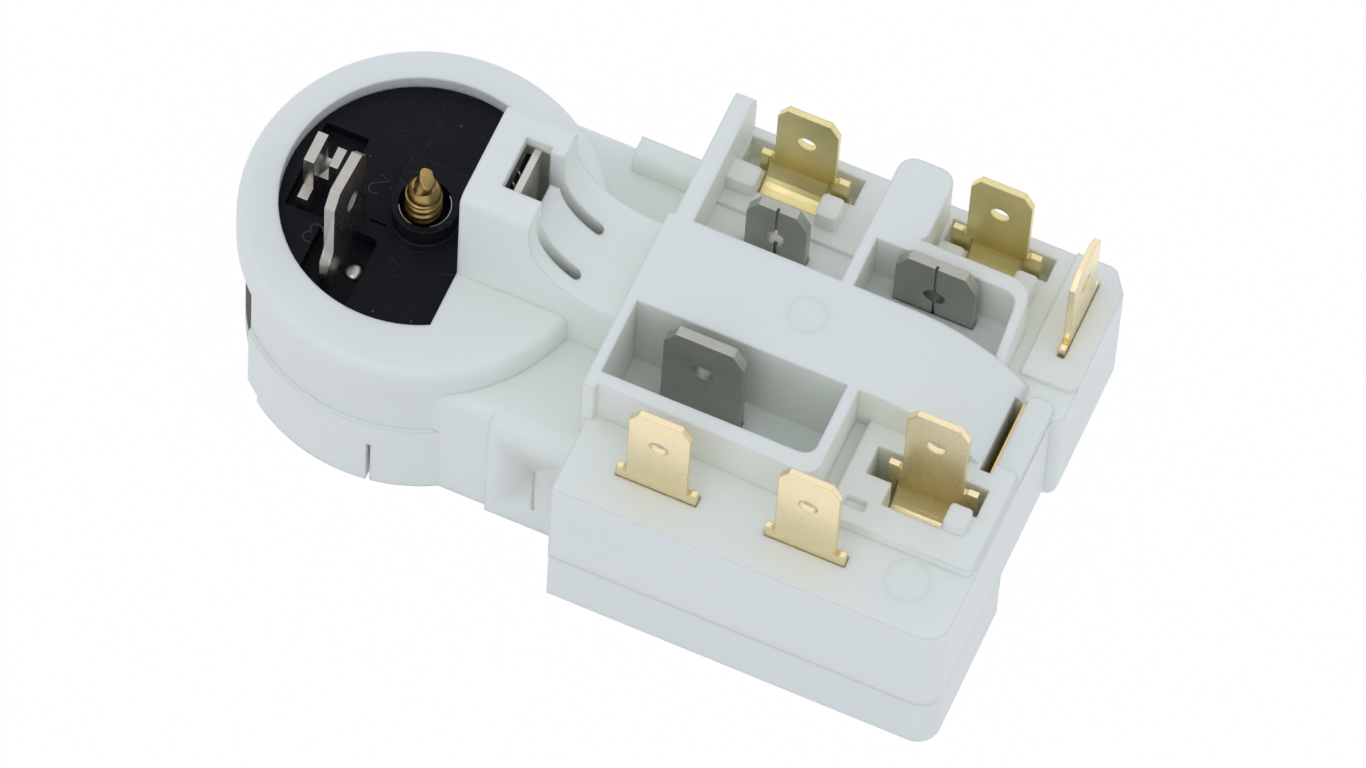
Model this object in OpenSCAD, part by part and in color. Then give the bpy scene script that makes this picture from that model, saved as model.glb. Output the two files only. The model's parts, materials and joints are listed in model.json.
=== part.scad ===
// Compressor start relay: a round overload protector in its ring, joined to a terminal block that
// holds the ceramic starter disc, three pin terminals and six flat push-on tabs.
// Millimetres. The drawing is made with the ring's centre at x = y = 0 and the block towards +x, then
// every node is moved so that the middle of the overall length is x = 0. The base is z = 0.

/* [Ring and neck] */
// outer radius of the rim round the protector
rim_r = 13.65; // [12:0.05:16]
// outer radius of the skirt low on the ring
skirt_r = 13.85; // [12:0.05:16]
// height of the top of the rim
rim_top = 17; // [14:0.1:20]
// height of the top of the neck between ring and block
deck_top = 13.8; // [10:0.1:16]
// side face of the neck, near side
neck_near = -12; // [-16:0.1:-8]
// side face of the neck, far side
neck_far = 13.4; // [8:0.1:16]

/* [Hood] */
// height of the top of the hood over the joining strip
hood_top = 28.2; // [22:0.1:32]
// width of the hood top along the part
hood_len = 5.5; // [4:0.1:8]
// radius of the hollow curve beside the hood
hood_curve = 6.5; // [4:0.1:9]

/* [Terminal block] */
// left end of the block
block_x0 = 17.7; // [14:0.1:22]
// right end of the block
block_x1 = 48.4; // [40:0.1:60]
// half width of the block
block_y = 16.8; // [12:0.1:24]
// height of the shelf the tabs stand on
shelf_z = 16.6; // [12:0.1:20]
// height of the raised walls and the middle strip
wall_z = 21.4; // [18:0.1:24]
// height of the joint between cover and housing
joint_z = 6; // [3:0.1:9]
// floor of the deep near well
well_z = 12.8; // [11:0.1:15]
// depth of the far bay and far well below the shelf
bay_drop = 0.3; // [0.1:0.05:2]

/* [Tabs] */
// width of a brass tab
tab_w = 4.8; // [2.8:0.1:8]
// width of a wide grey tab
wide_w = 6.3; // [4.8:0.1:9.5]
// thickness of the brass tabs
tab_t = 0.5; // [0.4:0.05:1]
// thickness of the grey blades
pin_t = 0.8; // [0.5:0.05:1.2]
// bore of a pin socket
pin_bore = 3.2; // [2:0.05:4]
// outside of a pin socket
pin_out = 4.4; // [3:0.05:6]

/* [Starter disc] */
// radius of the ceramic disc
pill_r = 7.9; // [5:0.1:9]
// thickness of the ceramic disc
pill_t = 2.6; // [1.5:0.1:4]

/* [Hidden] */
gap = 0.05;
body_r = 12.9;
body_top = 15.6;
body_low = 3;
cavity_r = body_r - 1.7;
bimetal_r = cavity_r - 3;
heater_r = cavity_r - 1.4;
terminal_3_x = 2.3 - cavity_r;
screw_r = 1.4;
collar_r = 2.5;
collar_y = 0.3;
collar_h = 2;
lip_r = body_r - 2.6;
lip_x = -0.6;
lip_y = 0.6;
lip_cut = 4.33;
open_x = -9.3;
end_x = 49.2;
hood_y0 = -3.7;
hood_y1 = 5;
strip_x0 = 17.15;
strip_x1 = 45.5;
strip_y0 = -2.5;
strip_y1 = 5.2;
// far well: inside of its right and back walls, thickness of those walls
well_far_x = 43;
well_far_y = 9.5;
well_wall = 1.2;
// deep slot at the right end and the brass plate in it
slot_x0 = 45.35;
slot_x1 = 46.3;
slot_y0 = -2.9;
slot_y1 = 3.8;
slot_z = 7;
plate_t = 0.25;
plate_top = 16.9;
// window in the hood and the joining strip in it
window_x = 6.63;
window_y0 = -1.45;
window_y1 = 3;
link_x = 7.35;
link_t = 0.55;
tongue_x = 9.15;
tongue_top = 25.2;
pill_x = 36;
pill_y = 0;
pill_z = 10.2;
chamber_y0 = -1.2;
chamber_y1 = 3.8;
chamber_r = 8.1;
fin_x1 = 19.1;
foot_z = 2;
pocket_deep = 2;
ear_w = 7;
slot_w = 0.9;
boss_w = 2.05;
boss_d = 1.9;
tier_z = 17.6;
socket_top = 10.5;
socket_low = 1;
// pin terminals: x, y, blade width, blade thickness, blade top
PINS = [[24.3, -4.5, wide_w, pin_t, 23.4], [24.6, 8.1, tab_w, pin_t, 22.9],
    [37, 8.5, wide_w, pin_t, 23]];
// standing tabs on the near shelf: x of the middle, y of the near face, top
NEAR = [[24.6, -13.8, 26.9], [36.3, -13.8, 27.3]];
// tabs that curl into a pocket: x of the middle, y of the near face, top, top of the two ears
CURL = [[42.8, -5.6, 27.2, 18.5], [24.2, 14, 26, 18.5], [39.4, 14.1, 26.8, 18.6]];
// pockets of those tabs: x0, y0, x1, y1, floor the curl rests on
POCKETS = [[38, -8.5, 46.7, -4.2, 13.6], [19.3, 11.85, 28.3, 16, 15.5], [35.4, 11.9, 43.6, 15.8, 15.5]];
// contacts of the protector: x, y
CONTACTS = [[-4.5, -4.2], [6.3, 1.25]];

function arc(cx, cy, r, a0, a1, n) =
    [for (i = [0:n]) [cx + r * cos(a0 + (a1 - a0) * i / n), cy + r * sin(a0 + (a1 - a0) * i / n)]];
function round_box(x0, y0, x1, y1, r, n = 6) = concat(arc(x1 - r, y1 - r, r, 0, 90, n),
    arc(x0 + r, y1 - r, r, 90, 180, n), arc(x0 + r, y0 + r, r, 180, 270, n),
    arc(x1 - r, y0 + r, r, 270, 360, n));

// moves a node from the drawing's frame to the stored one
module place() {
    translate([-(end_x - rim_r) / 2, 0, 0]) children();
}

module box(a, b) {
    translate(a) cube([b[0] - a[0], b[1] - a[1], b[2] - a[2]]);
}

// a flat outline in x and y raised from z0 to z1
module slab(points, z0, z1) {
    translate([0, 0, z0]) linear_extrude(z1 - z0) polygon(points);
}

// an outline in x and z swept from y0 to y1
module side(points, y0, y1) {
    translate([0, y1, 0]) rotate([90, 0, 0]) linear_extrude(y1 - y0) polygon(points);
}

// an outline in y and z swept from x0 to x1
module along(points, x0, x1) {
    translate([x0, 0, 0]) rotate([90, 0, 90]) linear_extrude(x1 - x0) polygon(points);
}

// outline of a push-on blade: shoulders below, chamfered tip above
function blade_outline(c, w, foot_w, z0, z_ear, z1, cut_w = 0.7, cut_h = 1.2) = [[c - foot_w / 2, z0],
    [c + foot_w / 2, z0], [c + foot_w / 2, z_ear], [c + w / 2 + 0.3, z_ear], [c + w / 2, z_ear - 0.3],
    [c + w / 2, z1 - cut_h], [c + w / 2 - cut_w, z1], [c - w / 2 + cut_w, z1],
    [c - w / 2, z1 - cut_h], [c - w / 2, z_ear - 0.3], [c - w / 2 - 0.3, z_ear],
    [c - foot_w / 2, z_ear]];

module rim_body() {
    rotate_extrude($fn = 96) polygon(concat([[0, 13.7], [rim_r - 0.15, 13.7], [rim_r, 13.9]],
        arc(rim_r - 0.8, rim_top - 0.8, 0.8, 0, 90, 6), [[0, rim_top]]));
    intersection() {
        union() {
            translate([0, 0, 8.2]) cylinder(r = rim_r - 0.15, h = 5.6, $fn = 96);
            cylinder(r = skirt_r, h = 8.4, $fn = 96);
        }
        box([open_x, -20, -1], [20, 20, 14]);
    }
}

module neck_body() {
    along(concat([[neck_near, 0], [neck_far, 0]], arc(neck_far - 1.2, deck_top - 1.2, 1.2, 0, 90, 5),
        arc(neck_near + 1.2, deck_top - 1.2, 1.2, 90, 180, 5)), 3, block_x0 + 0.5);
    along(concat([[neck_near - 0.4, 0], [0, 0], [0, deck_top - 0.3]],
        arc(neck_near + 0.8, deck_top - 1.3, 1.2, 90, 180, 5)), 10.8, block_x0 + 0.2);
    along(concat([[11.1, 12], [13, 12], [13, 15.8]], arc(12, 14.9, 0.9, 90, 180, 5)), 11.8, block_x0 + 0.3);
}

module hood_body() {
    x1 = lip_cut + hood_len;
    low = hood_top - 2;
    intersection() {
        side(concat([[lip_cut, 10], [block_x0 + 0.2, 10], [block_x0 + 0.2, low - hood_curve]],
            arc(x1 + hood_curve, low, hood_curve, 270, 180, 14), [[x1, hood_top], [lip_cut, hood_top]]),
            hood_y0, hood_y1);
        along(concat([[hood_y0, 8], [hood_y1, 8]], arc(hood_y1 - 0.8, hood_top - 0.8, 0.8, 0, 90, 4),
            arc(hood_y0 + 0.8, hood_top - 0.8, 0.8, 90, 180, 4)), 4, block_x0 + 1);
    }
}

module block_body() {
    slab(concat([[block_x0, -block_y]], arc(block_x1 - 1.8, 1.8 - block_y, 1.8, 270, 360, 6),
        arc(block_x1 - 1, block_y - 1, 1, 0, 90, 4), [[block_x0, block_y]]), joint_z, shelf_z);
    slab(concat([[40, 3.4]], arc(end_x - 0.8, 4.2, 0.8, 270, 360, 4), [[end_x, 15], [40, 15]]), 5.5, shelf_z);
    box([block_x0 + 0.1, -2, joint_z - 0.1], [40, 14, joint_z + 1]);
    slab(round_box(36.6, -10.9, 48.1, -2, 0.5, 3), shelf_z - 1, tier_z);
    // raised corner bosses beside the curled tabs
    boss(44.75, POCKETS[0][1], 46.5, POCKETS[0][1] + boss_d, tier_z + 0.9);
    for (i = [1, 2]) {
        p = POCKETS[i];
        boss(i == 1 ? fin_x1 - 0.4 : p[0] + 0.05, p[1] - 0.6, p[0] + boss_w, p[1] + 1.2, shelf_z + 1.5);
        boss(p[2] - boss_w, p[1] - 0.8, p[2] - 0.35, p[1] + 1.1, shelf_z + 1.8);
    }
    slab(concat([[strip_x0, strip_y0 + 0.5], [strip_x0, -9.9]], arc(34.3, -9.2, 1.2, 270, 360, 5),
        [[35.5, strip_y0 + 0.5]]), shelf_z - 1, wall_z);
    // flare at the front left foot of the wall
    side([[strip_x0, 14], [strip_x0 + 1, 14], [strip_x0 + 1, wall_z], [strip_x0, wall_z]], -10.4, 2);
    // middle strip with its rounded fall at the right end
    side(concat([[strip_x0, 8], [strip_x1, 8], [strip_x1, 17]],
        arc(36.2, wall_z - 12.4, 12.4, 36, 90, 10), [[strip_x0, wall_z]]), strip_y0, strip_y1);
    // fin
    along(concat([[4, 10], [block_y, 10]], arc(block_y - 1.2, wall_z - 1.2, 1.2, 0, 90, 6),
        [[4, wall_z]]), strip_x0 + 0.45, fin_x1);
    // thin wall that grows into the thick one
    slab(concat([[30.8, 4], [31.7, 4], [31.7, 9.8]], arc(34.3, 11.4, 0.8, 270, 360, 3),
        arc(33.8, 15.5, 1.3, 0, 90, 5), arc(32.1, 15.5, 1.3, 90, 180, 5)), shelf_z - 1, wall_z);
    // walls of the far well
    slab(concat([[31, well_far_y + well_wall], [31, strip_y1], [well_far_x + 0.8, strip_y1]],
        arc(well_far_x - 0.9, well_far_y - 0.5, 1.7, 0, 90, 6)), 10, wall_z);
    // far right shelf
    slab(concat([[44.8, 6]], arc(end_x - 0.8, 6.8, 0.8, 270, 360, 4), [[end_x, 15]],
        arc(block_x1 - 1, block_y - 1, 1, 45, 90, 3), [[44.8, block_y]]), shelf_z - 1, shelf_z + 0.4);
    // bar beside the deep slot
    slab(round_box(46.2, -3, 48.3, 4.5, 0.7, 4), shelf_z - 1, shelf_z + 0.6);
}

module boss(x0, y0, x1, y1, z1) {
    slab(round_box(x0, y0, x1, y1, 0.3, 2), shelf_z - 2, z1);
}

// hollows left for the pieces inside the block
module block_spaces() {
    // wells
    slab(concat([[18, -8.9]], arc(33.6, -7.9, 1, 270, 360, 5), [[34.6, strip_y0], [18, strip_y0]]),
        well_z, 30);
    box([fin_x1, strip_y1, shelf_z - bay_drop], [30.8, 9.9, 30]);
    slab(concat([[31.75, strip_y1], [well_far_x, strip_y1]], arc(well_far_x - 1.1, well_far_y - 1.1, 1.1, 0, 90, 5),
        [[31.75, well_far_y]]), shelf_z - bay_drop, 30);
    // the far well's right wall falls towards the strip
    along([[strip_y1, 30], [strip_y1, 18.9], [8.6, wall_z], [8.6, 30]], well_far_x - 0.6, well_far_x + 1.2);
    // hollow under the near shelf, and its two slots
    box([19.2, -15.3, -1], [46.9, -11, 15]);
    for (n = NEAR) box([n[0] - 3.2, n[1] - gap, 10], [n[0] + 3.2, n[1] + slot_w, 30]);
    // chamber of the ceramic disc
    translate([pill_x, chamber_y1, pill_z]) rotate([90, 0, 0])
        cylinder(r = chamber_r, h = chamber_y1 - chamber_y0, $fn = 72);
    box([pill_x - chamber_r, chamber_y0, -1], [pill_x + chamber_r, chamber_y1, pill_z]);
    // bores and slots of the pin terminals
    for (p = PINS) {
        translate([p[0], p[1], -1]) cylinder(r = pin_out / 2 + gap, h = socket_top + 1, $fn = 48);
        box([p[0] - p[2] / 2 - gap, p[1] - p[3] / 2 - gap, socket_top],
            [p[0] + p[2] / 2 + gap, p[1] + p[3] / 2 + gap, 20]);
    }
    // pockets of the curled tabs, with two corner bosses left standing in each
    for (p = POCKETS) pocket(p);
    // small sink in the tier
    box([37.5, -9.6, tier_z - 0.5], [39.1, -8.8, 30]);
    // slot of the end tab and recess of the end plate
    box([46.7, 8.3, 9], [46.8 + tab_t, 15.1, 30]);
    box([slot_x0, slot_y0, slot_z], [slot_x1, slot_y1, 30]);
}

module pocket(p) {
    box([p[0] + boss_w, p[1], p[4]], [p[2] - boss_w, p[3], 30]);
    box([p[0], p[1] + boss_d, p[4] - pocket_deep], [p[2], p[3], 30]);
}

module housing() {
    place() color([0.83, 0.85, 0.84]) difference() {
        union() {
            rim_body();
            neck_body();
            hood_body();
            block_body();
        }
        // seat of the protector and the opening in the lip
        translate([0, 0, -1]) cylinder(r = body_r + gap, h = body_top + 1, $fn = 96);
        intersection() {
            translate([lip_x, lip_y, 10]) cylinder(r = lip_r, h = 10, $fn = 96);
            box([-14, -14, 10], [lip_cut, 14, 20]);
        }
        // room inside the hood, its window and the two long slots
        box([5.5, -2.6, 14], [8.7, 3.9, hood_top - 1.3]);
        box([window_x, window_y0, 20], [8.7, window_y1, 30]);
        box([8.6, window_y0, 20], [tongue_x, 1.7, 30]);
        box([8.6, window_y0, tongue_top], [lip_cut + hood_len + 0.4, 1.7, 30]);
        box([5.5, -2.6, 12], [16.2, 3.9, 18]);
        slab(round_box(8.3, 1.65, 13.3, 2.55, 0.4, 4), 17, 30);
        slab(round_box(lip_cut + hood_len - 0.1, -2.45, 13.3, -1.55, 0.4, 4), 17, 26.8);
        // steps in the skirt
        box([-9.5, -15, -1], [-8.1, 0, 1]);
        box([1.8, -15, -1], [2.1, -12.5, 5.5]);
        box([14.5, -13, 3], [14.7, neck_near - 0.2, 9]);
        block_spaces();
        // room for the cover
        box([block_x0 - 0.5, -20, -1], [60, 20, 5.5]);
        box([block_x0 - 0.5, -20, -1], [60, strip_y0 - 1.8, joint_z]);
        box([block_x0 - 0.5, -20, -1], [46, 20, joint_z]);
    }
}

module base_cover() {
    place() color([0.82, 0.85, 0.83]) difference() {
        union() {
            slab(concat([[block_x0, -block_y]], arc(block_x1 - 1.8, 1.8 - block_y, 1.8, 270, 360, 6),
                [[block_x1, -4.3], [block_x0, -4.3]]), 0, joint_z);
            box([block_x0, -4.4, 0], [45.9, 14.6, joint_z]);
        }
        box([19.2, -15.3, foot_z], [46.9, -11, 10]);
        box([pill_x - chamber_r, chamber_y0, pill_z - pill_r], [pill_x + chamber_r, chamber_y1, 10]);
        for (p = PINS) {
            translate([p[0], p[1], socket_low]) cylinder(r = pin_out / 2 + gap, h = 10, $fn = 48);
            translate([p[0], p[1], -1]) cylinder(r = pin_bore / 2 + 0.2, h = 5, $fn = 48);
        }
    }
}

module overload_body() {
    place() color([0.13, 0.13, 0.15]) difference() {
        union() {
            translate([0, 0, body_low]) cylinder(r = body_r, h = body_top - body_low, $fn = 96);
            // raised collar round the screw, square on its far side
            slab(concat(arc(0, collar_y, collar_r, 180, 360, 16), [[collar_r, 3.7], [-collar_r, 3.7]]),
                body_top - 0.5, body_top + collar_h);
        }
        translate([0, 0, body_low - 1]) cylinder(r = cavity_r, h = 13 - body_low, $fn = 72);
        translate([0, 0, 5]) cylinder(r = screw_r, h = 20, $fn = 32);
        translate([0, collar_y, 15]) cylinder(r = collar_r - 0.5, h = 5, $fn = 40);
        // pockets of the two terminals and the groove between one of them and the collar
        slab(round_box(-6.6, -9, -2.2, -2.9, 0.5, 3), body_top - 1.5, 20);
        slab(round_box(terminal_3_x - 0.9, -2.95, terminal_3_x + 2.6, 4.5, 0.15, 2), body_top - 1.2, 20);
        box([-3.6, -1.7, body_top - 0.4], [-2.2, -1.5, 20]);
        box([-4.9, -7.6, 10], [-4.1, -1, 20]);
        box([terminal_3_x, -2.7, 10], [terminal_3_x + 0.8, 1, 20]);
        box([link_x - gap, -1, 10], [link_x + link_t + gap, 3, 20]);
    }
    // barrier that stands up into the hood
    place() color([0.13, 0.13, 0.15])
        box([window_x + 0.1, -1.3, body_top - 0.5], [link_x - 0.2, window_y1 - 0.05, hood_top - 2.2]);
}

module overload_can() {
    place() color([0.55, 0.55, 0.55]) difference() {
        translate([0, 0, 0.6]) cylinder(r = body_r, h = body_low - 0.6, $fn = 96);
        translate([0, 0, 1.2]) cylinder(r = body_r - 0.7, h = 5, $fn = 96);
    }
}

module calibration_screw() {
    place() color([0.72, 0.58, 0.3]) rotate_extrude($fn = 32) polygon([[0, 8.2], [2.5, 8.2], [2.5, 8.9],
        [screw_r, 8.9], [screw_r, 20.4], [0.95, 21.3], [0.8, 22.4], [0, 22.4]]);
}

module overload_terminal_2() {
    place() color([0.7, 0.7, 0.7]) difference() {
        along([[-7.6, 12], [-1, 12], [-1, 17.9], [-1.3, 18.6], [-1.3, 24.4], [-2.1, 25.6],
            [-5.9, 26.2], [-6.9, 25.1], [-6.9, 19], [-7.6, 18]], -4.9, -4.1);
        translate([-6, -3.7, 21.4]) rotate([0, 90, 0]) cylinder(r = 0.85, h = 4, $fn = 24);
    }
}

module overload_terminal_3() {
    place() color([0.7, 0.7, 0.7]) {
        translate([terminal_3_x, 0, 0]) {
            box([0, -2.7, 12], [0.8, 1, 16.8]);
            box([0, -1.6, 16.6], [0.8, 1, 20.6]);
            box([0.7, -0.7, 16.4], [2.3, 1, 17.2]);
            box([1.6, -0.7, 16.4], [2.3, 1, 19.4]);
        }
    }
}

module bimetal_disc() {
    place() color([0.6, 0.58, 0.52]) rotate_extrude($fn = 72)
        polygon([[screw_r, 8.9], [2.6, 8.9], [5, 9.5], [bimetal_r, 9.5], [bimetal_r, 9.8], [4.9, 9.8], [2.5, 9.2],
            [screw_r, 9.2]]);
}

module overload_heater() {
    place() color([0.45, 0.42, 0.4]) {
        intersection() {
            rotate_extrude($fn = 72) polygon([[heater_r - 1.2, 6], [heater_r, 6],
                [heater_r, 6.6], [heater_r - 1.2, 6.6]]);
            union() {
                box([-8, -12, 5], [12, 12, 8]);
                box([-12, 0.8, 5], [0, 12, 8]);
                box([-12, -12, 5], [0, -0.8, 8]);
            }
        }
        for (y = [-2.3, 1.3]) box([0.4 - heater_r, y, 6], [1.2 - heater_r, y + 1, 12]);
    }
}

module fixed_contact(c) {
    translate([c[0], c[1], 10.8]) cylinder(r = 1.7, h = 1.2, $fn = 36);
}

module moving_contact(c) {
    translate([c[0], c[1], 9.8]) cylinder(r = 1.5, h = 1, $fn = 36);
}

module fixed_contact_a() {
    place() color([0.8, 0.8, 0.78]) fixed_contact(CONTACTS[0]);
}

module fixed_contact_b() {
    place() color([0.8, 0.8, 0.78]) fixed_contact(CONTACTS[1]);
}

module moving_contact_a() {
    place() color([0.8, 0.8, 0.78]) moving_contact(CONTACTS[0]);
}

module moving_contact_b() {
    place() color([0.8, 0.8, 0.78]) moving_contact(CONTACTS[1]);
}

module link_strip() {
    place() color([0.65, 0.65, 0.66]) {
        box([link_x, -0.95, 12], [link_x + link_t, 2.95, 27.2]);
        box([link_x + link_t - 0.1, -0.95, body_top], [15.8, 2.95, body_top + 0.6]);
    }
}

// standing tab with its foot on the floor of the cover
module near_tab(n) {
    place() color([0.86, 0.8, 0.62]) difference() {
        side(blade_outline(n[0], tab_w, 6.3, foot_z, shelf_z + 1.4, n[2]), n[1], n[1] + tab_t);
        translate([n[0], n[1] - 1, n[2] - 3.9]) rotate([-90, 0, 0])
            cylinder(r = 0.75, h = 3, $fn = 24);
    }
}

// tab whose lower end curls towards the near side and rests on the pocket floor
module curl_tab(c, p, dark) {
    bend = 2.6;
    x0 = p[0] + boss_w + 0.1;
    x1 = p[2] - boss_w - 0.1;
    y1 = c[1] + tab_t;
    place() color(dark ? [0.66, 0.6, 0.36] : [0.86, 0.8, 0.62]) {
        difference() {
            union() {
                side(blade_outline(c[0], tab_w, ear_w, p[4] + bend, c[3], c[2]), c[1], y1);
                for (e = [[c[0] - ear_w / 2, x0 - 0.1], [x1 + 0.1, c[0] + ear_w / 2]])
                    box([e[0], c[1], p[4] - pocket_deep], [e[1], y1, c[3] - 0.2]);
            }
            translate([c[0], c[1] - 1, c[2] - 3.7]) rotate([-90, 0, 0])
                cylinder(r = 0.75, h = 3, $fn = 24);
        }
        along(concat(arc(y1 - bend, p[4] + bend, bend, 0, -90, 8),
            arc(y1 - bend, p[4] + bend, bend - tab_t, -90, 0, 8)), x0, x1);
    }
}

module tab_near_left() {
    near_tab(NEAR[0]);
}

module tab_near_right() {
    near_tab(NEAR[1]);
}

module tab_right() {
    curl_tab(CURL[0], POCKETS[0], false);
}

module tab_far_left() {
    curl_tab(CURL[1], POCKETS[1], true);
}

module tab_far_right() {
    curl_tab(CURL[2], POCKETS[2], true);
}

module tab_end() {
    place() color([0.86, 0.8, 0.62]) difference() {
        along(blade_outline(11.7, tab_w, 6.4, 9, shelf_z + 1.2, 26.4, 1.3, 1.1), 46.75, 46.75 + tab_t);
        translate([45, 11.7, 22.8]) rotate([0, 90, 0]) cylinder(r = 0.75, h = 4, $fn = 24);
    }
}

// flat blade above, round socket below for a pin pushed in from underneath
module pin_terminal(p, folded) {
    place() color([0.42, 0.43, 0.4]) difference() {
        union() {
            translate([p[0], p[1], socket_low])
                cylinder(r = pin_out / 2, h = socket_top - socket_low, $fn = 48);
            side([[p[0] - p[2] / 2, socket_top], [p[0] + p[2] / 2, socket_top],
                [p[0] + p[2] / 2, p[4] - 1.6], [p[0] + p[2] / 2 - 0.9, p[4]],
                [p[0] - p[2] / 2 + 0.9, p[4]], [p[0] - p[2] / 2, p[4] - 1.6]],
                p[1] - p[3] / 2, p[1] + p[3] / 2);
            box([p[0] - 1.8, p[1] - p[3] / 2, 9.8], [p[0] + 1.8, p[1] + p[3] / 2, socket_top + 0.1]);
        }
        translate([p[0], p[1], 0]) cylinder(r = pin_bore / 2, h = 9.5, $fn = 48);
        translate([p[0], p[1] - 2, p[4] - 4.2]) rotate([-90, 0, 0])
            cylinder(r = 0.85, h = 4, $fn = 24);
        if (folded) box([p[0] - 0.12, p[1] - p[3] / 2 - 1, 13], [p[0] + 0.12, p[1] - p[3] / 2 + 0.3, 30]);
    }
}

module pin_terminal_1() {
    pin_terminal(PINS[0], false);
}

module pin_terminal_2() {
    pin_terminal(PINS[1], true);
}

module pin_terminal_3() {
    pin_terminal(PINS[2], true);
}

module ceramic_disc() {
    place() color([0.35, 0.33, 0.32]) translate([pill_x, pill_t, pill_z]) rotate([90, 0, 0])
        cylinder(r = pill_r, h = pill_t, $fn = 72);
}

// bowed spring between a chamber wall at y_wall and a disc face at y_disc
module disc_spring(y_wall, y_disc) {
    t = 0.3;
    s = y_disc > y_wall ? 1 : -1;
    rise = abs(y_disc - y_wall) - t;
    inner = [for (i = [-8:8]) [pill_x + i * 0.7, y_wall + s * rise * (1 - pow(i / 8, 2))]];
    outer = [for (i = [8:-1:-8]) [pill_x + i * 0.7, y_wall + s * (t + rise * (1 - pow(i / 8, 2)))]];
    slab(concat(inner, outer), 4.5, 14.5);
}

module disc_spring_near() {
    place() color([0.7, 0.68, 0.6]) disc_spring(chamber_y0, pill_y);
}

module disc_spring_far() {
    place() color([0.7, 0.68, 0.6]) disc_spring(chamber_y1, pill_t);
}

module end_plate() {
    place() color([0.8, 0.72, 0.45]) box([slot_x1 - plate_t, slot_y0 + gap, slot_z],
        [slot_x1, slot_y1 - gap, plate_top]);
}

housing();
base_cover();
overload_body();
overload_can();
calibration_screw();
overload_terminal_2();
overload_terminal_3();
bimetal_disc();
overload_heater();
fixed_contact_a();
fixed_contact_b();
moving_contact_a();
moving_contact_b();
link_strip();
tab_near_left();
tab_near_right();
tab_right();
tab_far_left();
tab_far_right();
tab_end();
pin_terminal_1();
pin_terminal_2();
pin_terminal_3();
ceramic_disc();
disc_spring_near();
disc_spring_far();
end_plate();
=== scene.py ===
import json
import math

import bmesh
import bpy
import numpy as np
from mathutils import Matrix


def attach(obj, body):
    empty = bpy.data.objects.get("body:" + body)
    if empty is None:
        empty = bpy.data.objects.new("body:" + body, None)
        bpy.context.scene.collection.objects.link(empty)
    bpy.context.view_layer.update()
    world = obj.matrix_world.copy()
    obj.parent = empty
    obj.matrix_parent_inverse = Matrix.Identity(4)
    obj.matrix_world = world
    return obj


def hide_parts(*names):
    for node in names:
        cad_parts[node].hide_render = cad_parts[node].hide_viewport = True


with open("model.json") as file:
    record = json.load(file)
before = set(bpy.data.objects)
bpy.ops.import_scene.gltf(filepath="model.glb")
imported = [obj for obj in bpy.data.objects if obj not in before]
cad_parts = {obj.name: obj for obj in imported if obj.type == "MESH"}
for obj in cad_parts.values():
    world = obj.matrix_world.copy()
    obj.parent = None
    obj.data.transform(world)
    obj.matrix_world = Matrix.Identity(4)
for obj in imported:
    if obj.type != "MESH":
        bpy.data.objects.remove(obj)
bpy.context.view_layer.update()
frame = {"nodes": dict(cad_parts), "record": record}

MM = 0.001
RING_X = -17.775          # where the ring's centre lies along x, in mm
BODY_TOP = 15.6           # top face of the black protector body, in mm
JOINT_Z = 6.0             # joint between the base cover and the housing, in mm
SHELF_Z = 16.6            # shelf that the tabs stand on, in mm
STRIP_Z = 21.4            # flat top of the middle strip, in mm
BLOCK_START = 17.8        # the terminal block along x from the ring's centre, in mm
BLOCK_END = 48.0
BLOCK_SIDE = 16.2         # its outer walls lie beyond this distance on either side, in mm
WIDEST_ROUND = 0.6        # widest softened corner of the mouldings, in mm


# ---------------------------------------------------------------- node helpers
class Graph:
    """A small builder for node trees: node(kind, input=value or socket) returns the node."""

    def __init__(self, tree):
        self.tree = tree

    def node(self, kind, ins=None, **props):
        n = self.tree.nodes.new(kind)
        for key, value in props.items():
            setattr(n, key, value)
        for key, value in (ins or {}).items():
            if isinstance(value, bpy.types.NodeSocket):
                self.tree.links.new(value, n.inputs[key])
            else:
                n.inputs[key].default_value = value
        return n

    def math(self, op, a, b=0.0, clamp=False):
        n = self.node("ShaderNodeMath", operation=op, use_clamp=clamp)
        for i, v in enumerate((a, b)):
            if isinstance(v, bpy.types.NodeSocket):
                self.tree.links.new(v, n.inputs[i])
            else:
                n.inputs[i].default_value = v
        return n.outputs[0]

    def mix(self, factor, a, b, blend="MIX"):
        n = self.node("ShaderNodeMix", data_type="RGBA", blend_type=blend)
        for i, v in ((0, factor), (6, a), (7, b)):
            if isinstance(v, bpy.types.NodeSocket):
                self.tree.links.new(v, n.inputs[i])
            else:
                n.inputs[i].default_value = v
        return n.outputs[2]

    def ramp(self, value, low, high):
        n = self.node("ShaderNodeMapRange", {"Value": value, "From Min": low, "From Max": high})
        return n.outputs[0]


def group(name, inputs, outputs):
    """A node group with named sockets: its Graph, and the sockets that carry its inputs and outputs."""
    tree = bpy.data.node_groups.new(name, "ShaderNodeTree")
    for label, kind, value in inputs:
        s = tree.interface.new_socket(label, in_out="INPUT", socket_type=kind)
        s.default_value = value
    for label, kind in outputs:
        tree.interface.new_socket(label, in_out="OUTPUT", socket_type=kind)
    g = Graph(tree)
    return g, g.node("NodeGroupInput").outputs, g.node("NodeGroupOutput").inputs


FLOAT, COLOUR = "NodeSocketFloat", "NodeSocketColor"


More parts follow.
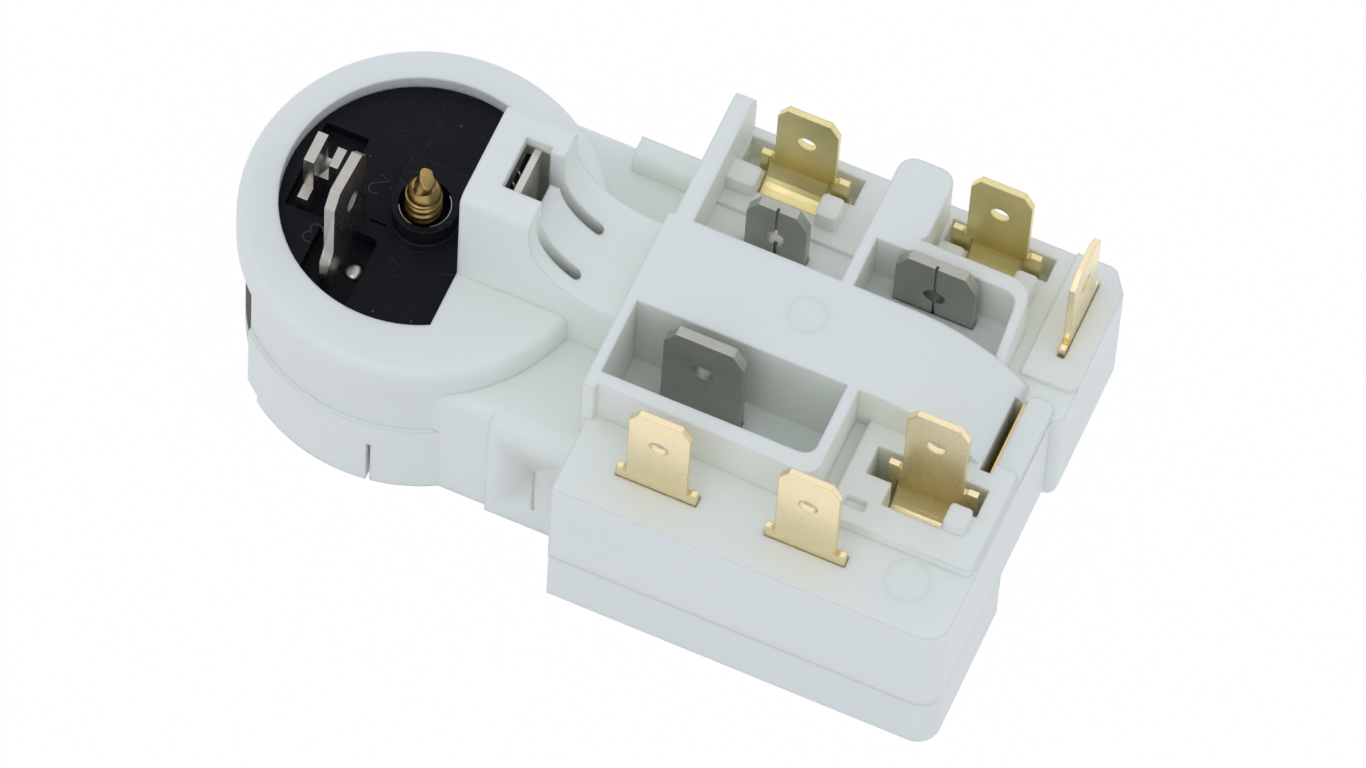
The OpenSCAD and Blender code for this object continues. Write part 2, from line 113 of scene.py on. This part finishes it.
def moulded_group():
    """Moulded plastic: slow cloudiness of the colour, faint flow streaks and a fine spark grain."""
    g, i, o = group("moulded", [("Colour", COLOUR, (0.7, 0.7, 0.7, 1)), ("Cloud", FLOAT, 0.05),
                                ("Grain", FLOAT, 1.0)],
                    [("Colour", COLOUR), ("Roughness", FLOAT), ("Height", FLOAT)])
    at = g.node("ShaderNodeTexCoord").outputs["Object"]
    cloud = g.node("ShaderNodeTexNoise", {"Vector": at, "Scale": 90.0, "Detail": 3.0}).outputs[0]
    long_way = g.node("ShaderNodeMapping", {"Vector": at, "Scale": (60.0, 600.0, 600.0)}).outputs[0]
    flow = g.node("ShaderNodeTexNoise", {"Vector": long_way, "Scale": 1.0, "Detail": 2.0}).outputs[0]
    grain = g.node("ShaderNodeTexNoise", {"Vector": at, "Scale": 5200.0, "Detail": 2.0}).outputs[0]
    shade = g.math("ADD", g.math("MULTIPLY", cloud, 0.7), g.math("MULTIPLY", flow, 0.3))
    shade = g.math("SUBTRACT", shade, 0.5)
    level = g.math("ADD", g.math("MULTIPLY", shade, i["Cloud"]), 1.0)
    lit = g.node("ShaderNodeVectorMath", {0: i["Colour"]}, operation="SCALE")
    g.tree.links.new(level, lit.inputs["Scale"])
    g.tree.links.new(lit.outputs[0], o["Colour"])
    g.tree.links.new(g.math("ADD", g.math("MULTIPLY", grain, 0.16), g.math("MULTIPLY", cloud, 0.06)),
                     o["Roughness"])
    g.tree.links.new(g.math("MULTIPLY", g.math("ADD", grain, g.math("MULTIPLY", cloud, 2.0)),
                            i["Grain"]), o["Height"])
    return g.tree


def sheet_metal_group():
    """Rolled strip: fine lines along one axis, blotches of tarnish, and small random scratches."""
    g, i, o = group("rolled_strip", [("Colour", COLOUR, (0.7, 0.6, 0.4, 1)),
                                     ("Tarnish colour", COLOUR, (0.4, 0.3, 0.15, 1)),
                                     ("Tarnish", FLOAT, 0.3), ("Lines", FLOAT, 1.0)],
                    [("Colour", COLOUR), ("Roughness", FLOAT), ("Height", FLOAT)])
    at = g.node("ShaderNodeTexCoord").outputs["Object"]
    drawn = g.node("ShaderNodeMapping", {"Vector": at, "Scale": (9000.0, 9000.0, 220.0)}).outputs[0]
    lines = g.node("ShaderNodeTexNoise", {"Vector": drawn, "Scale": 1.0, "Detail": 3.0}).outputs[0]
    blot = g.node("ShaderNodeTexNoise", {"Vector": at, "Scale": 420.0, "Detail": 5.0,
                                         "Roughness": 0.62}).outputs[0]
    fine = g.node("ShaderNodeTexNoise", {"Vector": at, "Scale": 2600.0, "Detail": 2.0}).outputs[0]
    mask = g.math("MULTIPLY", g.ramp(blot, 0.42, 0.72), i["Tarnish"])
    mask = g.math("ADD", mask, g.math("MULTIPLY", g.math("SUBTRACT", lines, 0.5), 0.25), clamp=True)
    g.tree.links.new(g.mix(mask, i["Colour"], i["Tarnish colour"]), o["Colour"])
    rough = g.math("ADD", g.math("MULTIPLY", blot, 0.14), g.math("MULTIPLY", fine, 0.10))
    g.tree.links.new(rough, o["Roughness"])
    g.tree.links.new(g.math("MULTIPLY", lines, i["Lines"]), o["Height"])
    return g.tree


def painted_edge_light_group():
    """Mask of the painted highlight along edges: where an edge is near, 1 less the cosine between the
    rounded-over normal and the face's own.
    """
    g, i, o = group("painted_edge_light", [("Soft normal", "NodeSocketVector", (0.0, 0.0, 1.0)),
                                 ("Start", FLOAT, 0.015), ("End", FLOAT, 0.16)], [("Mask", FLOAT)])
    own = g.node("ShaderNodeNewGeometry").outputs["Normal"]
    cosine = g.node("ShaderNodeVectorMath", {0: i["Soft normal"], 1: own}, operation="DOT_PRODUCT")
    bend = g.math("SUBTRACT", 1.0, cosine.outputs["Value"])
    n = g.node("ShaderNodeMapRange", {"Value": bend, "From Min": i["Start"], "From Max": i["End"]})
    g.tree.links.new(n.outputs[0], o["Mask"])
    return g.tree


def scuff_group():
    """Pale marks on the black face: paler on low relief just above the face, crossing hairlines and dust."""
    g, i, o = group("scuffed_face", [("Low", FLOAT, (BODY_TOP + 0.012) * MM),
                                     ("High", FLOAT, (BODY_TOP + 0.12) * MM)], [("Mask", FLOAT)])
    at = g.node("ShaderNodeTexCoord").outputs["Object"]
    z = g.node("ShaderNodeSeparateXYZ", {0: at}).outputs["Z"]
    relief = g.math("MULTIPLY", g.math("GREATER_THAN", z, i["Low"]), g.math("LESS_THAN", z, i["High"]))
    dust = g.node("ShaderNodeTexVoronoi", {"Vector": at, "Scale": 850.0}).outputs["Distance"]
    thin = g.node("ShaderNodeTexNoise", {"Vector": at, "Scale": 500.0, "Detail": 1.0}).outputs[0]
    dust = g.math("MULTIPLY", g.math("LESS_THAN", dust, 0.09), g.ramp(thin, 0.5, 0.62))
    hair = 0.0
    for angle in (0.5, 1.9, 2.7):
        turned = g.node("ShaderNodeMapping", {"Vector": at, "Rotation": (0.0, 0.0, angle)}).outputs[0]
        drawn = g.node("ShaderNodeMapping", {"Vector": turned, "Scale": (260.0, 5200.0, 260.0)})
        line = g.node("ShaderNodeTexNoise", {"Vector": drawn.outputs[0], "Scale": 1.0,
                                             "Detail": 1.0}).outputs[0]
        hair = g.math("ADD", hair, g.ramp(line, 0.70, 0.78))
    mask = g.math("ADD", g.math("MULTIPLY", relief, 0.5), g.math("MULTIPLY", dust, 0.6))
    mask = g.math("ADD", mask, g.math("MULTIPLY", hair, 0.2), clamp=True)
    g.tree.links.new(mask, o["Mask"])
    return g.tree


MOULDED, ROLLED, PAINTED_EDGE_LIGHT = moulded_group(), sheet_metal_group(), painted_edge_light_group()
SCUFF = scuff_group()


def new_material(name):
    """An empty material with one Principled shader on its output."""
    m = bpy.data.materials.new(name)
    m.use_nodes = True
    m.node_tree.nodes.clear()
    g = Graph(m.node_tree)
    shader = g.node("ShaderNodeBsdfPrincipled")
    g.node("ShaderNodeOutputMaterial", {"Surface": shader.outputs[0]})
    return m, g, shader


def plastic(name, colour, rough, cloud, grain, bump, subsurface=0.0, highlight_colour=None, corner=0.3,
            shine=0.5, scuffed=False, joint=None):
    """Moulded plastic; corner is the width of its softened edges in mm, scuffed adds the pale relief,
    hairlines and dust of the black face, and joint is the height in mm at which two mouldings meet flush."""
    m, g, shader = new_material(name)
    shader.inputs["Specular IOR Level"].default_value = shine
    fx = g.node("ShaderNodeGroup", node_tree=MOULDED)
    fx.inputs["Colour"].default_value = (*colour, 1)
    fx.inputs["Cloud"].default_value = cloud
    fx.inputs["Grain"].default_value = grain
    tone = fx.outputs["Colour"]
    soft = g.node("ShaderNodeBevel", {"Radius": corner * MM}, samples=6)
    if joint is not None:      # close to the joint of two mouldings the faces stay flat
        at = g.node("ShaderNodeTexCoord").outputs["Object"]
        z = g.node("ShaderNodeSeparateXYZ", {0: at}).outputs["Z"]
        off = g.math("ABSOLUTE", g.math("SUBTRACT", z, joint * MM))
        free = g.math("GREATER_THAN", off, 1.3 * corner * MM)
        g.tree.links.new(g.math("MULTIPLY", free, corner * MM), soft.inputs["Radius"])
    # painted highlight: near an edge the colour goes halfway towards the lighter edge colour
    if highlight_colour:
        highlight_mask = g.node("ShaderNodeGroup", {0: soft.outputs[0]}, node_tree=PAINTED_EDGE_LIGHT)
        tone = g.mix(g.math("MULTIPLY", highlight_mask.outputs[0], 0.5), tone, (*highlight_colour, 1))
    if scuffed:
        scuff = g.node("ShaderNodeGroup", node_tree=SCUFF)
        tone = g.mix(scuff.outputs[0], tone, (0.11, 0.112, 0.118, 1))
    g.tree.links.new(tone, shader.inputs["Base Color"])
    g.tree.links.new(g.math("ADD", fx.outputs["Roughness"], rough - 0.1), shader.inputs["Roughness"])
    b = g.node("ShaderNodeBump", {"Height": fx.outputs["Height"], "Strength": bump, "Distance": 0.00004,
                                  "Normal": soft.outputs[0]})
    g.tree.links.new(b.outputs[0], shader.inputs["Normal"])
    if subsurface:
        shader.inputs["Subsurface Weight"].default_value = subsurface
        shader.inputs["Subsurface Radius"].default_value = (1.0, 1.0, 0.9)
        shader.inputs["Subsurface Scale"].default_value = 0.0012
    return m


def metal(name, colour, tarnish_colour, tarnish, rough, lines=1.0, cut=None, corner=0.08):
    """Sheet or turned metal; cut is the colour painted along its edges, by default brighter than the sheet
    as a painted highlight.
    """
    m, g, shader = new_material(name)
    fx = g.node("ShaderNodeGroup", node_tree=ROLLED)
    fx.inputs["Colour"].default_value = (*colour, 1)
    fx.inputs["Tarnish colour"].default_value = (*tarnish_colour, 1)
    fx.inputs["Tarnish"].default_value = tarnish
    fx.inputs["Lines"].default_value = lines
    soft = g.node("ShaderNodeBevel", {"Radius": corner * MM}, samples=6)
    highlight_mask = g.node("ShaderNodeGroup", {0: soft.outputs[0]}, node_tree=PAINTED_EDGE_LIGHT)
    # painted highlight: near an edge the colour goes most of the way to the edge colour, by default 1.25
    # times the sheet's
    cut = cut or tuple(min(1.0, c * 1.25) for c in colour)
    tone = g.mix(g.math("MULTIPLY", highlight_mask.outputs[0], 0.7), fx.outputs["Colour"], (*cut, 1))
    g.tree.links.new(tone, shader.inputs["Base Color"])
    g.tree.links.new(g.math("ADD", fx.outputs["Roughness"], rough - 0.1), shader.inputs["Roughness"])
    shader.inputs["Metallic"].default_value = 1.0
    b = g.node("ShaderNodeBump", {"Height": fx.outputs["Height"], "Strength": 0.08, "Distance": 0.00002,
                                  "Normal": soft.outputs[0]})
    g.tree.links.new(b.outputs[0], shader.inputs["Normal"])
    return m


FINISH = {
    # the second colour of each moulding is the painted highlight along its edges
    "housing_plastic": plastic("pale_moulding", (0.89, 0.925, 0.85), 0.42, 0.05, 1.0, 0.25, 0.35,
                               (0.94, 0.945, 0.86), 0.3,
                               joint=JOINT_Z),
    "cover_plastic": plastic("pale_cover", (0.88, 0.915, 0.86), 0.44, 0.05, 1.0, 0.25, 0.3,
                             (0.93, 0.94, 0.86), 0.4, joint=JOINT_Z),
    "phenolic": plastic("black_moulding", (0.0095, 0.0105, 0.0135), 0.46, 0.5, 1.6, 0.5, 0.0,
                        (0.10, 0.10, 0.105), 0.12, 0.09, scuffed=True),
    "can_steel": metal("can_steel", (0.42, 0.42, 0.41), (0.2, 0.19, 0.17), 0.4, 0.32),
    "screw_brass": metal("screw_brass", (0.48, 0.32, 0.12), (0.14, 0.08, 0.03), 0.8, 0.30),
    "nickel": metal("nickel_strip", (0.50, 0.487, 0.465), (0.34, 0.325, 0.30), 0.35, 0.27, 0.3),
    "bimetal": metal("bimetal_strip", (0.45, 0.42, 0.36), (0.3, 0.22, 0.15), 0.4, 0.3),
    "heater_metal": metal("heater_strip", (0.25, 0.23, 0.22), (0.1, 0.09, 0.08), 0.5, 0.4),
    "contact_metal": metal("contact_silver", (0.8, 0.79, 0.76), (0.4, 0.38, 0.35), 0.3, 0.22),
    "link_metal": metal("link_strip_metal", (0.62, 0.60, 0.58), (0.45, 0.42, 0.39), 0.4, 0.4, 0.5),
    # These two are lit and shaded copies of one brass: the darker, browner colour of the second is painted
    # shade; along their edges both are drawn a darker brown.
    "brass": metal("lit_brass", (0.92, 0.80, 0.53), (0.76, 0.59, 0.32), 0.15, 0.27,
                   cut=(0.60, 0.42, 0.25), corner=0.13),
    "dark_brass": metal("shaded_brass", (0.82, 0.72, 0.38), (0.60, 0.50, 0.23), 0.25, 0.34,
                        cut=(0.50, 0.37, 0.2), corner=0.13),
    "tinned_steel": metal("dull_tin", (0.44, 0.445, 0.415), (0.31, 0.31, 0.28), 0.4, 0.38),
    "ceramic": plastic("fired_ceramic", (0.08, 0.07, 0.065), 0.6, 0.3, 2.0, 0.6),
    "spring_metal": metal("spring_strip", (0.6, 0.56, 0.45), (0.35, 0.3, 0.2), 0.3, 0.26),
    "plate_brass": metal("plate_brass_metal", (0.72, 0.55, 0.25), (0.4, 0.28, 0.1), 0.35, 0.27),
}
# the thin round marks are too thin to let light scatter in them, so theirs is without subsurface
MARK_FINISH = plastic("pale_moulding_relief", (0.83, 0.87, 0.80), 0.42, 0.05, 1.0, 0.1, corner=0.05)
SLOT_OF = {s["node"]: s["material_slot"] for s in frame["record"]["subparts"]}


# ---------------------------------------------------------------- pieces
def keep(name, mesh, slot_name, *nodes):
    """Puts a finished mesh in the scene on the one body, with the finish of that slot."""
    ob = bpy.data.objects.new(name, mesh)
    bpy.context.scene.collection.objects.link(ob)
    mesh.materials.clear()
    mesh.materials.append(FINISH[slot_name])
    if nodes:
        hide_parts(*nodes)
    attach(ob, "root")
    return ob


def merged(node, flatten):
    """A copy of the CAD node's mesh with its doubled points joined; flat faces may be made whole."""
    mesh = frame["nodes"][node].data.copy()
    mesh.name = "round_" + node
    bm = bmesh.new()
    bm.from_mesh(mesh)
    bmesh.ops.remove_doubles(bm, verts=bm.verts, dist=2e-6)
    if flatten:
        bmesh.ops.dissolve_limit(bm, angle_limit=math.radians(0.8), verts=bm.verts, edges=bm.edges)
    return mesh, bm


def ring_frame(p):
    """A point of a CAD mesh, in mm from the ring's centre."""
    return p[0] / MM - RING_X, p[1] / MM, p[2] / MM


def on_outside(x, y):
    """Whether the point lies on an outer wall of the terminal block."""
    return abs(y) > BLOCK_SIDE or x > BLOCK_END


def housing_round(p):
    """Round of a housing edge at point p, in mm: soft outside corners, crisp inside the pockets."""
    x, y, z = ring_frame(p)
    if abs(z - JOINT_Z) < 0.2:
        return 0.0
    if z < 0.4:
        return 0.45
    if x > BLOCK_START and z < SHELF_Z + 0.3 and on_outside(x, y):
        return 0.55
    if x > BLOCK_START and z < SHELF_Z + 0.1:
        return 0.14
    return 0.3


def cover_round(p):
    """Round of an edge of the base cover at point p, in mm: none along its joint with the housing."""
    x, y, z = ring_frame(p)
    if abs(z - JOINT_Z) < 0.2:
        return 0.0
    return WIDEST_ROUND if z < 0.4 else 0.55 if on_outside(x, y) else 0.3


def softened(node, rule, segments=3, angle=28.0):
    """The CAD node's own shape with its corners broken: a merged copy in which each edge sharper
    than the angle gets the round that the rule gives for its middle, in mm."""
    mesh, bm = merged(node, True)
    weight = bm.edges.layers.float.new("bevel_weight_edge")
    for edge in bm.edges:
        if len(edge.link_faces) == 2 and edge.calc_face_angle(0.0) > math.radians(angle):
            edge[weight] = rule((edge.verts[0].co + edge.verts[1].co) / 2) / WIDEST_ROUND
    bm.to_mesh(mesh)
    bm.free()
    mesh.shade_smooth()
    mesh.set_sharp_from_angle(angle=math.radians(angle))
    ob = keep("round_" + node, mesh, SLOT_OF[node], node)
    mod = ob.modifiers.new("corner_round", "BEVEL")
    mod.width = WIDEST_ROUND * MM
    mod.segments = segments
    mod.limit_method = "WEIGHT"
    mod.harden_normals = True
    return ob


def crisp(node, angle=25.0):
    """Sheet metal: the CAD node's own shape, smooth over its bends and sharp at its cut edges."""
    mesh, bm = merged(node, False)
    bm.to_mesh(mesh)
    bm.free()
    mesh.shade_smooth()
    mesh.set_sharp_from_angle(angle=math.radians(angle))
    return keep("round_" + node, mesh, SLOT_OF[node], node)


MOULDINGS = {"housing": housing_round, "base_cover": cover_round, "overload_body": lambda p: 0.1}
for node_name in frame["nodes"]:
    if node_name in MOULDINGS:
        softened(node_name, MOULDINGS[node_name])
    elif node_name != "calibration_screw":
        crisp(node_name, 9.0 if node_name.startswith("pin_") else 25.0)


def turn_steps(count):
    """Angles of one whole turn, as a row."""
    return np.linspace(0.0, 2.0 * np.pi, count, endpoint=False)[None, :]


def rings(r, a, z, x=0.0, y=0.0):
    """Rings stacked upwards, (rows, columns, 3) in mm: (x + r cos a, y + r sin a, z)."""
    return np.stack(np.broadcast_arrays(x + r * np.cos(a), y + r * np.sin(a), z + 0.0 * a), axis=-1)


def surface(name, points, slot_name, *nodes):
    """A closed piece from rings of points in mm: neighbours joined by four-sided faces, the first and
    the last ring closed by a fan on their middle; x is measured from the ring's centre."""
    rows, cols, _ = points.shape
    ends = points[[0, -1]].mean(axis=1)
    co = (np.concatenate([points.reshape(-1, 3), ends]) + [RING_X, 0.0, 0.0]) * MM
    k = np.arange(rows * cols).reshape(rows, cols)
    right = np.roll(k, -1, axis=1)
    quads = np.stack([k[:-1], right[:-1], right[1:], k[1:]], axis=-1).reshape(-1, 4)
    first = np.stack([right[0], k[0], np.full(cols, rows * cols)], axis=-1)
    last = np.stack([k[-1], right[-1], np.full(cols, rows * cols + 1)], axis=-1)
    mesh = bpy.data.meshes.new(name)
    mesh.from_pydata(co.tolist(), [], quads.tolist() + first.tolist() + last.tolist())
    mesh.update()
    mesh.shade_smooth()
    mesh.set_sharp_from_angle(angle=math.radians(50))
    return keep(name, mesh, slot_name, *nodes)


def adjusting_screw(r0=1.39, depth=0.16, pitch=0.85, foot_r=2.45):
    """The screw in the protector's collar: a foot, a thread whose radius at height z and angle a is
    r0 - depth f, where f rises and falls once in each pitch along z / pitch - a / 2 pi, a rounding
    shoulder r0 - 0.12 - 0.42 t^2.2, and a sheared stub, an oval that narrows and twists as t goes
    from 0 to 1 and is cut off by a slanting plane."""
    a = turn_steps(72)
    foot = rings(np.array([[foot_r], [foot_r], [1.3]]), a, np.array([[8.25], [8.85], [8.9]]))
    z = np.linspace(9.0, 19.7, 150)[:, None]
    wave = np.abs(2.0 * ((z / pitch - a / (2.0 * np.pi)) % 1.0) - 1.0)
    thread = rings(r0 - depth * np.clip(wave * 1.5 - 0.25, 0.0, 1.0), a, z)
    t = np.linspace(0.0, 1.0, 16)[:, None]
    shoulder = rings(r0 - 0.12 - 0.42 * t ** 2.2, a, 19.75 + t)
    oval = 1.0 - 0.16 * np.cos(2.0 * (a - 0.9 * t)) - 0.05 * np.cos(5.0 * a + 3.0 * t)
    stub = rings((0.86 - 0.30 * t) * oval, a, 20.8 + 1.5 * t, 0.18 * t, 0.10 * t)
    cut = 22.0 + 0.55 * (0.3 * stub[..., 1] - 0.9 * stub[..., 0])
    stub[..., 2] = np.minimum(stub[..., 2], cut)
    return surface("adjusting_screw", np.concatenate([foot, thread, shoulder, stub]), "screw_brass",
                   "calibration_screw")


def tube(name, path, radius, slot_name, sides=10):
    """A thin round bar along a list of points in mm; at each point p the ring of radius r stands
    square to the way the path runs there: p + r (u cos a + v sin a)."""
    path = np.asarray(path, dtype=float)
    way = np.gradient(path, axis=0)
    way /= np.linalg.norm(way, axis=1, keepdims=True)
    u = np.cross(way, [0.13, 0.21, 0.97])
    u /= np.linalg.norm(u, axis=1, keepdims=True)
    v = np.cross(way, u)
    a = turn_steps(sides)[..., None]
    ring = path[:, None] + radius * (u[:, None] * np.cos(a) + v[:, None] * np.sin(a))
    return surface(name, ring, slot_name)


def arc(cx, cy, rx, ry, first, last, count=24):
    """Points of an oval's arc, (count, 2): (cx + rx cos a, cy + ry sin a) from first to last degrees."""
    a = np.radians(np.linspace(first, last, count))
    return np.stack([cx + rx * np.cos(a), cy + ry * np.sin(a)], axis=-1)


def at_height(points, z):
    """Flat points (n, 2) set at one height, as (n, 3)."""
    return np.column_stack([points, np.full(len(points), z)])


def collar_glints(radius=1.93, height=17.45, wire=0.055):
    """The bushing's lip that shows inside the collar: two arcs of one circle, as thin round bars."""
    for name, first, last in (("bushing_lip_left", 205.0, 262.0), ("bushing_lip_right", 305.0, 405.0)):
        tube(name, at_height(arc(0.0, 0.3, radius, radius, first, last), height), wire, "nickel")


def foot_rivet(x=-3.05, y=-5.35, z=14.12, radius=0.75, height=0.42):
    """The rivet head at the foot of the tall blade: half an oval, r = R sin b and z = z0 + h cos b."""
    b = np.linspace(0.5 * np.pi, 0.04, 14)[:, None]
    return surface("foot_rivet", rings(radius * np.sin(b), turn_steps(40), z + height * np.cos(b), x, y),
                   "nickel")


def hood_coil(turns=2.0):
    """The end of a coil in the hood's window: x = x0 + r cos t, z = z0 + h sin t, y = y0 + p t."""
    t = np.linspace(0.0, 2.0 * np.pi * turns, 110)
    path = np.stack([6.99 + 0.24 * np.cos(t), -0.4 + 0.16 * t, 26.2 + 0.5 * np.sin(t)], axis=-1)
    return tube("hood_coil", path, 0.07, "nickel")


def mould_mark(name, x, y, face, radius, width=0.15, rise=0.012):
    """A round mark of the mould on a flat face. At distance r from its middle the skin lies 0.045 mm
    under the face, and a ring exp(-((r - R) / w)^2) and a dot exp(-(r / w)^2) stand out of it."""
    sunk = 0.045
    r = np.linspace(radius + 3.0 * width, 0.02, 60)[:, None]
    swell = np.exp(-((r - radius) / width) ** 2) + np.exp(-(r / width) ** 2)
    top = rings(r, turn_steps(64), face - sunk + (sunk + rise) * swell, x, y)
    below = top[:1] - [0.0, 0.0, 0.1]
    mark = surface(name, np.concatenate([below, top]), "housing_plastic")
    mark.data.materials[0] = MARK_FINISH
    return mark


def numeral(name, strokes, cx, cy, turn=160.0, size=1.7, stroke=0.075):
    """A moulded numeral on the black face: its strokes are drawn in a 1 by 1 square, made narrower,
    scaled by size and turned about (cx, cy), as round bars sunk half in the face."""
    c, s = math.cos(math.radians(turn)), math.sin(math.radians(turn))
    for i, line in enumerate(strokes):
        flat = (line - 0.5) * [0.62 * size, size] @ np.array([[c, s], [-s, c]]) + [cx, cy]
        tube(f"{name}_{i}", at_height(flat, BODY_TOP), stroke, "phenolic", 8)


adjusting_screw()
collar_glints()
foot_rivet()
hood_coil()
mould_mark("gate_mark", 29.7, 1.6, STRIP_Z, 1.45)
mould_mark("ejector_mark", 44.0, -12.9, SHELF_Z, 1.65)
numeral("numeral_two", [np.concatenate([arc(0.5, 0.72, 0.42, 0.26, 160, -35), [[0.1, 0.04], [0.95, 0.04]]])],
        -4.15, 1.25)
numeral("numeral_three", [arc(0.45, 0.74, 0.42, 0.24, 150, -80), arc(0.45, 0.26, 0.46, 0.26, 85, -150)],
        -6.9, -4.4)


# ---------------------------------------------------------------- camera
def photo_camera():
    """Long lens from 1 m: looks down 62 degrees, turned 20 degrees, rolled 4.2 degrees, and placed
    so that the centre of the rim's top falls at the photograph's pixel (423.5, 210.4)."""
    az, el, roll = np.radians((-20.0, 62.0, 4.2))
    far, focal = 1.0, 13500.0
    ahead = np.array([np.sin(az) * np.cos(el), np.cos(az) * np.cos(el), -np.sin(el)])
    level = np.array([np.cos(az), -np.sin(az), 0.0])
    up0 = np.cross(level, ahead)
    right = np.cos(roll) * level + np.sin(roll) * up0
    up = -np.sin(roll) * level + np.cos(roll) * up0
    mark = np.array([0.0, 0.0, 17.0]) * MM
    depth = mark @ ahead + far
    tx = (423.5 - 683.0) * depth / focal - mark @ right
    ty = (384.0 - 210.4) * depth / focal - mark @ up
    place = -tx * right - ty * up - far * ahead + np.array([RING_X * MM, 0.0, 0.0])
    data = bpy.data.cameras.new("photo_camera")
    data.sensor_width = 36.0
    data.lens = focal / 1366.0 * 36.0
    data.clip_start, data.clip_end = 0.05, 20.0
    cam = bpy.data.objects.new("photo_camera", data)
    m = np.eye(4)
    m[:3, 0], m[:3, 1], m[:3, 2], m[:3, 3] = right, up, -ahead, place
    cam.matrix_world = Matrix(m.tolist())
    bpy.context.scene.collection.objects.link(cam)
    bpy.context.scene.camera = cam
    return cam


photo_camera()


# ---------------------------------------------------------------- light and floor
def studio():
    """A wide pale floor, a white surround and two soft lamps."""
    scene = bpy.context.scene
    scene.view_settings.view_transform = "Standard"
    world = bpy.data.worlds.new("surround")
    scene.world = world
    world.use_nodes = True
    world.node_tree.nodes.clear()
    g = Graph(world.node_tree)
    path = g.node("ShaderNodeLightPath")
    seen = g.math("MAXIMUM", path.outputs["Is Camera Ray"],
                  g.math("MAXIMUM", path.outputs["Is Glossy Ray"], path.outputs["Is Transmission Ray"]))
    soft = g.node("ShaderNodeBackground", {"Color": (0.83, 0.875, 1.0, 1), "Strength": 0.80})
    white = g.node("ShaderNodeBackground", {"Color": (1, 1, 1, 1), "Strength": 1.0})
    both = g.node("ShaderNodeMixShader", {0: seen, 1: soft.outputs[0], 2: white.outputs[0]})
    g.node("ShaderNodeOutputWorld", {"Surface": both.outputs[0]})

    n = 5
    s = np.linspace(-3.0, 3.0, n)
    x, y = np.meshgrid(s, s, indexing="ij")
    points = np.stack([x.ravel(), y.ravel(), np.full(x.size, -0.0001)], axis=1)
    k = np.arange(n * n).reshape(n, n)
    quads = np.stack([k[:-1, :-1], k[1:, :-1], k[1:, 1:], k[:-1, 1:]], axis=-1).reshape(-1, 4)
    mesh = bpy.data.meshes.new("studio_floor")
    mesh.from_pydata(points.tolist(), [], quads.tolist())
    floor = bpy.data.objects.new("studio_floor", mesh)
    scene.collection.objects.link(floor)
    m, g, shader = new_material("pale_floor")
    shader.inputs["Base Color"].default_value = (0.85, 0.85, 0.85, 1)
    shader.inputs["Roughness"].default_value = 0.9
    path = g.node("ShaderNodeLightPath")
    glow = g.node("ShaderNodeEmission", {"Color": (1, 1, 1, 1), "Strength": 1.0})
    seen = g.math("MAXIMUM", path.outputs["Is Camera Ray"], path.outputs["Is Glossy Ray"])
    part = g.math("MULTIPLY", seen, 0.995)
    both = g.node("ShaderNodeMixShader", {0: part, 1: shader.outputs[0], 2: glow.outputs[0]})
    out = [n for n in g.tree.nodes if n.bl_idname == "ShaderNodeOutputMaterial"][0]
    g.tree.links.new(both.outputs[0], out.inputs["Surface"])
    mesh.materials.append(m)

    def lamp(name, place, size, watts, colour):
        data = bpy.data.lights.new(name, "AREA")
        data.shape, data.size, data.energy, data.color = "SQUARE", size, watts, colour
        ob = bpy.data.objects.new(name, data)
        p = np.array(place)
        z = p / np.linalg.norm(p)
        x = np.cross([0.0, 0.0, 1.0], z)
        x /= np.linalg.norm(x)
        m4 = np.eye(4)
        m4[:3, 0], m4[:3, 1], m4[:3, 2], m4[:3, 3] = x, np.cross(z, x), z, p
        ob.matrix_world = Matrix(m4.tolist())
        scene.collection.objects.link(ob)

    lamp("key_front", (-0.25, -0.75, 1.1), 0.5, 1.0, (1.0, 0.99, 0.97))
    lamp("fill_right", (0.7, 0.1, 1.1), 0.6, 0.3, (0.97, 0.99, 1.0))


studio()
